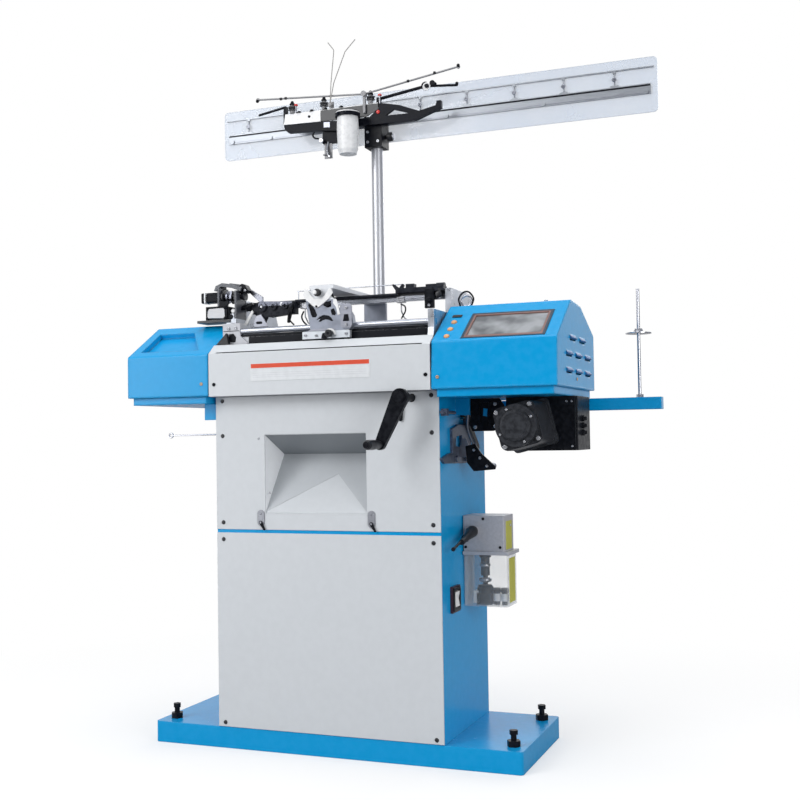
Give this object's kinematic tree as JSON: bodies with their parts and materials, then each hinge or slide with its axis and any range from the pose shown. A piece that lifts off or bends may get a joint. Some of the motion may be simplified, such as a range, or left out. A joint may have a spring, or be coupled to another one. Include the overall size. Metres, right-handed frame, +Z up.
{
  "type": "industrial knitting machine",
  "caption": "Free-standing automatic glove knitting machine with a hand crank, control box, motor, lubricator, yarn mast and clear guide plate.",
  "frame": {"origin": "on the floor under the middle of the base plate, on the underside of its middle rib", "axes": "+X runs right along the needle beds, +Y runs to the back of the machine, +Z runs up"},
  "size_m": [1.5595, 0.672, 2.2089],
  "materials": {
    "blue_paint": "gloss powder coat",
    "grey_paint": "fine satin powder coat",
    "black_paint": "satin black paint",
    "machine_grey": "hammered grey paint",
    "bright_steel": "ground and brushed",
    "chrome_steel": "polished chrome",
    "cast_aluminium": "bead blasted casting",
    "bare_plate": "satin anodised",
    "zinc_steel": "zinc plated",
    "black_plastic": "fine grained",
    "white_plastic": "smooth",
    "screen_glass": "glossy display",
    "clear_acrylic": "polished clear sheet",
    "clear_tank": "moulded clear plastic",
    "belt_rubber": "matt",
    "green_button": "gloss",
    "red_button": "gloss",
    "yellow_button": "gloss"
  },
  "bodies": {
    "machine": {"base_plate": "blue_paint", "levelling_bolts": "black_paint", "column_frame": "blue_paint", "lower_panel": "grey_paint", "upper_panel": "grey_paint", "panel_fasteners": "zinc_steel", "head_casting": "machine_grey", "head_front_panel": "grey_paint", "spec_plate": "bare_plate", "bed_frame": "cast_aluminium", "slide_rails": "bright_steel", "needle_beds": "bright_steel", "needles": "chrome_steel", "feeder_bank": "black_paint", "selector_bracket": "cast_aluminium", "selector_motor": "black_paint", "left_cover": "blue_paint", "control_box": "blue_paint", "screen_bezel": "black_plastic", "touch_screen": "screen_glass", "control_board": "black_plastic", "yarn_rods": "bright_steel", "shaft_bearings": "black_paint", "drive_belt": "belt_rubber", "motor": "black_paint", "drive_box": "black_paint", "power_switch": "white_plastic", "tension_linkage": "black_paint", "lubricator": "machine_grey", "oil_reservoir": "clear_tank", "oil_pump": "black_plastic", "mast": "chrome_steel", "mast_clamps": "black_paint", "tension_beam": "black_paint", "tension_plate": "white_plastic", "guide_rods": "bright_steel", "guide_plate": "clear_acrylic", "guide_rail": "zinc_steel", "bobbin_arm": "blue_paint"},
    "carriage": {"carriage_frame": "cast_aluminium"},
    "upper_knob": {"stitch_knob_upper": "black_plastic"},
    "lower_knob": {"stitch_knob_lower": "black_plastic"},
    "left_feeder": {"yarn_feeder_left": "zinc_steel"},
    "right_feeder": {"yarn_feeder_right": "zinc_steel"},
    "bank_lever": {"feeder_lever": "zinc_steel"},
    "drum": {"cam_drum": "zinc_steel"},
    "start_key": {"start_button": "green_button"},
    "stop_key": {"stop_button": "red_button"},
    "reset_key": {"reset_button": "yellow_button"},
    "crank": {"crank_arm": "black_paint"},
    "grip": {"crank_grip": "black_plastic"},
    "stop_catch": {"crank_stop": "black_paint"},
    "rotor": {"motor_rotor": "bright_steel"},
    "rocker": {"switch_rocker": "red_button"},
    "stitch_lever": {"tension_lever": "black_paint"},
    "pump_lever": {"lubricator_lever": "black_paint"},
    "mast_knob": {"clamp_knob": "black_plastic"},
    "takeup": {"takeup_wires": "bright_steel"},
    "hook_left": {"latch_hook_left": "zinc_steel"},
    "hook_right": {"latch_hook_right": "zinc_steel"}
  },
  "joints": [
    {"name": "carriage_slide", "type": "slide", "parent": "machine", "child": "carriage", "axis": [1, 0, 0], "range_m": [-0.1, 0.11]},
    {"name": "upper_knob_turn", "type": "hinge", "parent": "carriage", "child": "upper_knob", "pos_m": [-0.002, -0.235, 1.332], "axis": [0, -1, 0], "range_deg": [-150, 150]},
    {"name": "lower_knob_turn", "type": "hinge", "parent": "carriage", "child": "lower_knob", "pos_m": [0.032, -0.235, 1.213], "axis": [0, -1, 0], "range_deg": [-150, 150]},
    {"name": "left_feeder_slide", "type": "slide", "parent": "machine", "child": "left_feeder", "axis": [1, 0, 0], "range_m": [-0.006, 0.13]},
    {"name": "right_feeder_slide", "type": "slide", "parent": "machine", "child": "right_feeder", "axis": [1, 0, 0], "range_m": [-0.13, 0.12]},
    {"name": "bank_lever_turn", "type": "hinge", "parent": "machine", "child": "bank_lever", "pos_m": [-0.16, -0.088, 1.318], "axis": [0, 1, 0], "range_deg": [-20, 20]},
    {"name": "drum_spin", "type": "hinge", "parent": "machine", "child": "drum", "pos_m": [-0.36, -0.1, 1.355], "axis": [1, 0, 0], "continuous": true},
    {"name": "start_press", "type": "slide", "parent": "machine", "child": "start_key", "axis": [0, 0.5513, -0.8343], "range_m": [0, 0.003], "stiffness_N_per_m": 300, "springref_m": -0.0005},
    {"name": "stop_press", "type": "slide", "parent": "machine", "child": "stop_key", "axis": [0, 0.5513, -0.8343], "range_m": [0, 0.003], "stiffness_N_per_m": 300, "springref_m": -0.0005},
    {"name": "reset_press", "type": "slide", "parent": "machine", "child": "reset_key", "axis": [0, 0.5513, -0.8343], "range_m": [0, 0.003], "stiffness_N_per_m": 300, "springref_m": -0.0005},
    {"name": "crank_spin", "type": "hinge", "parent": "machine", "child": "crank", "pos_m": [0.273, -0.298, 1.022], "axis": [0, 1, 0], "continuous": true},
    {"name": "grip_spin", "type": "hinge", "parent": "crank", "child": "grip", "pos_m": [0.21189, -0.352, 0.89272], "axis": [0, 1, 0], "continuous": true},
    {"name": "rotor_spin", "type": "hinge", "parent": "machine", "child": "rotor", "pos_m": [0.575, -0.03, 0.939], "axis": [0, 1, 0], "continuous": true},
    {"name": "stop_catch_turn", "type": "hinge", "parent": "machine", "child": "stop_catch", "pos_m": [0.241, -0.216, 0.986], "axis": [0, 1, 0], "range_deg": [-90, 60]},
    {"name": "rocker_turn", "type": "hinge", "parent": "machine", "child": "rocker", "pos_m": [0.361, -0.11, 0.451], "axis": [0, 1, 0], "range_deg": [-6, 6]},
    {"name": "stitch_lever_turn", "type": "hinge", "parent": "machine", "child": "stitch_lever", "pos_m": [0.3655, 0.017, 0.95], "axis": [1, 0, 0], "range_deg": [-8, 3]},
    {"name": "pump_lever_turn", "type": "hinge", "parent": "machine", "child": "pump_lever", "pos_m": [0.385, -0.039, 0.637], "axis": [1, 0, 0], "range_deg": [-35, 25]},
    {"name": "mast_knob_turn", "type": "hinge", "parent": "machine", "child": "mast_knob", "pos_m": [0.04, 0.23, 1.891], "axis": [1, 0, 0], "range_deg": [-180, 180]},
    {"name": "takeup_turn", "type": "hinge", "parent": "machine", "child": "takeup", "pos_m": [-0.138, 0.171, 2.002], "axis": [0, 1, 0], "range_deg": [-12, 12], "stiffness_Nm_per_rad": 1},
    {"name": "hook_left_turn", "type": "hinge", "parent": "machine", "child": "hook_left", "pos_m": [-0.205, -0.218, 0.668], "axis": [0, 1, 0], "range_deg": [-100, 30]},
    {"name": "hook_right_turn", "type": "hinge", "parent": "machine", "child": "hook_right", "pos_m": [0.147, -0.218, 0.668], "axis": [0, 1, 0], "range_deg": [-100, 30]}
  ],
  "couplings": [
    {"joint": "rotor_spin", "follows": "crank_spin", "ratio": 1.5}
  ]
}
